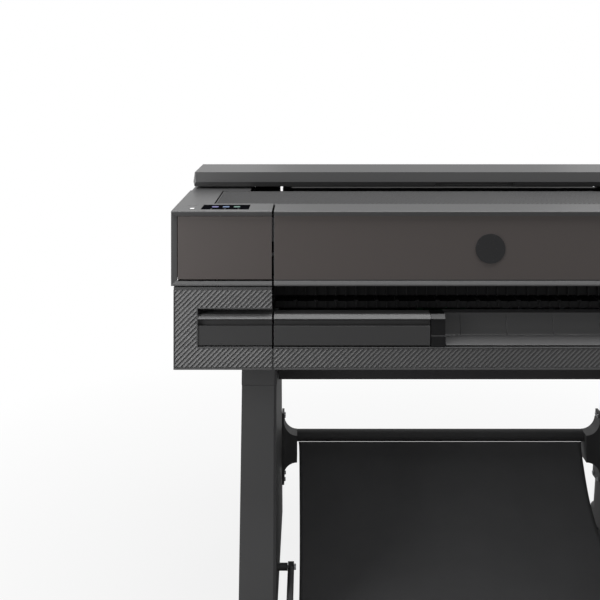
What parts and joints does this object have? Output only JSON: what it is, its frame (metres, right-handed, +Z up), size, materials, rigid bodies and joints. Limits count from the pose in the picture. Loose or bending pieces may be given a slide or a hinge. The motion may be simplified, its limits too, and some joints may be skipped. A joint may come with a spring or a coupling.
{
  "type": "large format plotter",
  "caption": "Free-standing wide-format inkjet plotter: wide body with hinged covers, roll bay and sheet tray, on slab legs with casters, brace and print basket.",
  "frame": {"origin": "on the floor, under the centre of the overall box, between the four caster wheels", "axes": "+X to the machine's right seen from the front, +Y to the back, +Z up; the paper comes out towards -Y"},
  "size_m": [1.403, 0.805, 1.155],
  "materials": {
    "belt": "matte",
    "black_plastic": "matte",
    "board_green": "solder mask",
    "button_light": "satin",
    "cartridge": "smooth",
    "cover_grey": "fine spark texture",
    "emblem": "satin disc",
    "fabric": "woven polyester",
    "gear_white": "smooth",
    "gloss_black": "polished",
    "panel_brown_grey": "fine spark texture",
    "rail_aluminium": "extruded",
    "ramp_grey": "smooth satin",
    "ribbed_grey": "diagonal fine ribs",
    "roll_cover_grey": "fine spark texture",
    "rubber": "matte",
    "stand_dark": "fine texture powder coat",
    "stand_tube": "satin powder coat",
    "steel": "satin",
    "wheel": "matte",
    "zinc_plate": "zinc plated sheet"
  },
  "bodies": {
    "root": {"leg_left": "stand_dark", "leg_right": "stand_dark", "leg_caps": "stand_dark", "feet": "stand_dark", "stand_top_rail": "stand_tube", "brace_tube": "stand_tube", "brace_brackets": "stand_dark", "stand_screws": "steel", "basket_fabric": "fabric", "base_pan": "zinc_plate", "chassis_plates": "zinc_plate", "lower_cover_left": "cover_grey", "lower_cover_right": "cover_grey", "lower_front_strip": "ribbed_grey", "tray_ledge": "cover_grey", "tray_end_cap": "black_plastic", "end_module_left": "cover_grey", "end_module_right": "cover_grey", "rear_top_cover": "ribbed_grey", "rear_cover": "cover_grey", "hinge_towers": "black_plastic", "roll_trough": "black_plastic", "guide_rod": "steel", "carriage_rail": "rail_aluminium", "drive_belt": "belt", "drive_motors": "zinc_plate", "platen": "black_plastic", "exit_bar": "black_plastic", "output_ramp": "ramp_grey", "display_glass": "gloss_black", "service_station": "black_plastic", "ink_cartridges": "cartridge", "main_board": "board_green", "power_supply": "zinc_plate"},
    "roll_cover": {"roll_cover": "roll_cover_grey"},
    "front_window": {"front_window": "panel_brown_grey", "emblem_disc": "emblem"},
    "ink_door": {"ink_door": "panel_brown_grey"},
    "power_button": {"power_button": "button_light"},
    "wake_button": {"wake_button": "gloss_black"},
    "sheet_tray": {"sheet_tray": "cover_grey"},
    "roll_spindle": {"roll_spindle": "black_plastic"},
    "carriage": {"carriage": "black_plastic"},
    "scan_pulley_left": {"scan_pulley_left": "gear_white"},
    "scan_pulley_right": {"scan_pulley_right": "gear_white"},
    "feed_roller": {"feed_roller": "rubber", "feed_gear": "gear_white"},
    "motor_pinion": {"motor_pinion": "gear_white"},
    "pinch_rollers": {"pinch_rollers": "rubber"},
    "cutter": {"cutter": "black_plastic"},
    "wiper_sled": {"wiper_sled": "rubber"},
    "basket_frame": {"basket_frame": "stand_tube"},
    "caster_fork_front_left": {"caster_fork_front_left": "black_plastic"},
    "caster_wheels_front_left": {"caster_wheels_front_left": "wheel"},
    "caster_fork_rear_left": {"caster_fork_rear_left": "black_plastic"},
    "caster_wheels_rear_left": {"caster_wheels_rear_left": "wheel"},
    "caster_fork_front_right": {"caster_fork_front_right": "black_plastic"},
    "caster_wheels_front_right": {"caster_wheels_front_right": "wheel"},
    "caster_fork_rear_right": {"caster_fork_rear_right": "black_plastic"},
    "caster_wheels_rear_right": {"caster_wheels_rear_right": "wheel"}
  },
  "joints": [
    {"name": "roll_cover_lift", "type": "hinge", "parent": "root", "child": "roll_cover", "pos_m": [0, 0.232, 1.103], "axis": [-1, 0, 0], "range_deg": [0, 80]},
    {"name": "window_lift", "type": "hinge", "parent": "root", "child": "front_window", "pos_m": [0, -0.236, 1.111], "axis": [-1, 0, 0], "range_deg": [0, 75]},
    {"name": "ink_door_drop", "type": "hinge", "parent": "root", "child": "ink_door", "pos_m": [-0.58, -0.33275, 0.96025], "axis": [1, 0, 0], "range_deg": [0, 88]},
    {"name": "power_button_press", "type": "slide", "parent": "root", "child": "power_button", "axis": [0, 0, -1], "range_m": [0, 0.0015]},
    {"name": "wake_button_press", "type": "slide", "parent": "root", "child": "wake_button", "axis": [0, 0, -1], "range_m": [0, 0.0015]},
    {"name": "sheet_tray_pull", "type": "slide", "parent": "root", "child": "sheet_tray", "axis": [0, -1, 0], "range_m": [0, 0.28]},
    {"name": "spindle_spin", "type": "hinge", "parent": "root", "child": "roll_spindle", "pos_m": [0, 0.11, 1.01], "axis": [1, 0, 0], "continuous": true},
    {"name": "carriage_scan", "type": "slide", "parent": "root", "child": "carriage", "axis": [-1, 0, 0], "range_m": [0, 1.08]},
    {"name": "left_pulley_spin", "type": "hinge", "parent": "root", "child": "scan_pulley_left", "pos_m": [-0.585, -0.095, 1.071], "axis": [0, 0, 1], "continuous": true},
    {"name": "right_pulley_spin", "type": "hinge", "parent": "root", "child": "scan_pulley_right", "pos_m": [0.585, -0.095, 1.071], "axis": [0, 0, 1], "continuous": true},
    {"name": "feed_roller_spin", "type": "hinge", "parent": "root", "child": "feed_roller", "pos_m": [0, -0.078, 0.884], "axis": [1, 0, 0], "continuous": true},
    {"name": "motor_pinion_spin", "type": "hinge", "parent": "root", "child": "motor_pinion", "pos_m": [-0.619, -0.078, 0.83885], "axis": [1, 0, 0], "continuous": true},
    {"name": "pinch_rollers_spin", "type": "hinge", "parent": "root", "child": "pinch_rollers", "pos_m": [0, -0.078, 0.9071], "axis": [1, 0, 0], "continuous": true},
    {"name": "cutter_travel", "type": "slide", "parent": "root", "child": "cutter", "axis": [1, 0, 0], "range_m": [0, 1.16]},
    {"name": "wiper_sled_travel", "type": "slide", "parent": "root", "child": "wiper_sled", "axis": [0, 1, 0], "range_m": [0, 0.04]},
    {"name": "basket_fold", "type": "hinge", "parent": "root", "child": "basket_frame", "pos_m": [0, -0.11, 0.185], "axis": [-1, 0, 0], "range_deg": [0, 60]},
    {"name": "caster_swivel_front_left", "type": "hinge", "parent": "root", "child": "caster_fork_front_left", "pos_m": [-0.513, -0.3565, 0.07], "axis": [0, 0, 1], "continuous": true},
    {"name": "caster_roll_front_left", "type": "hinge", "parent": "caster_fork_front_left", "child": "caster_wheels_front_left", "pos_m": [-0.513, -0.3425, 0.025], "axis": [1, 0, 0], "continuous": true},
    {"name": "caster_swivel_rear_left", "type": "hinge", "parent": "root", "child": "caster_fork_rear_left", "pos_m": [-0.513, 0.3565, 0.07], "axis": [0, 0, 1], "continuous": true},
    {"name": "caster_roll_rear_left", "type": "hinge", "parent": "caster_fork_rear_left", "child": "caster_wheels_rear_left", "pos_m": [-0.513, 0.3705, 0.025], "axis": [1, 0, 0], "continuous": true},
    {"name": "caster_swivel_front_right", "type": "hinge", "parent": "root", "child": "caster_fork_front_right", "pos_m": [0.513, -0.3565, 0.07], "axis": [0, 0, 1], "continuous": true},
    {"name": "caster_roll_front_right", "type": "hinge", "parent": "caster_fork_front_right", "child": "caster_wheels_front_right", "pos_m": [0.513, -0.3425, 0.025], "axis": [1, 0, 0], "continuous": true},
    {"name": "caster_swivel_rear_right", "type": "hinge", "parent": "root", "child": "caster_fork_rear_right", "pos_m": [0.513, 0.3565, 0.07], "axis": [0, 0, 1], "continuous": true},
    {"name": "caster_roll_rear_right", "type": "hinge", "parent": "caster_fork_rear_right", "child": "caster_wheels_rear_right", "pos_m": [0.513, 0.3705, 0.025], "axis": [1, 0, 0], "continuous": true}
  ],
  "couplings": [
    {"joint": "left_pulley_spin", "follows": "carriage_scan", "rad_per_m": -84.746},
    {"joint": "right_pulley_spin", "follows": "carriage_scan", "rad_per_m": -84.746},
    {"joint": "motor_pinion_spin", "follows": "feed_roller_spin", "ratio": -4},
    {"joint": "pinch_rollers_spin", "follows": "feed_roller_spin", "ratio": -1.875}
  ]
}
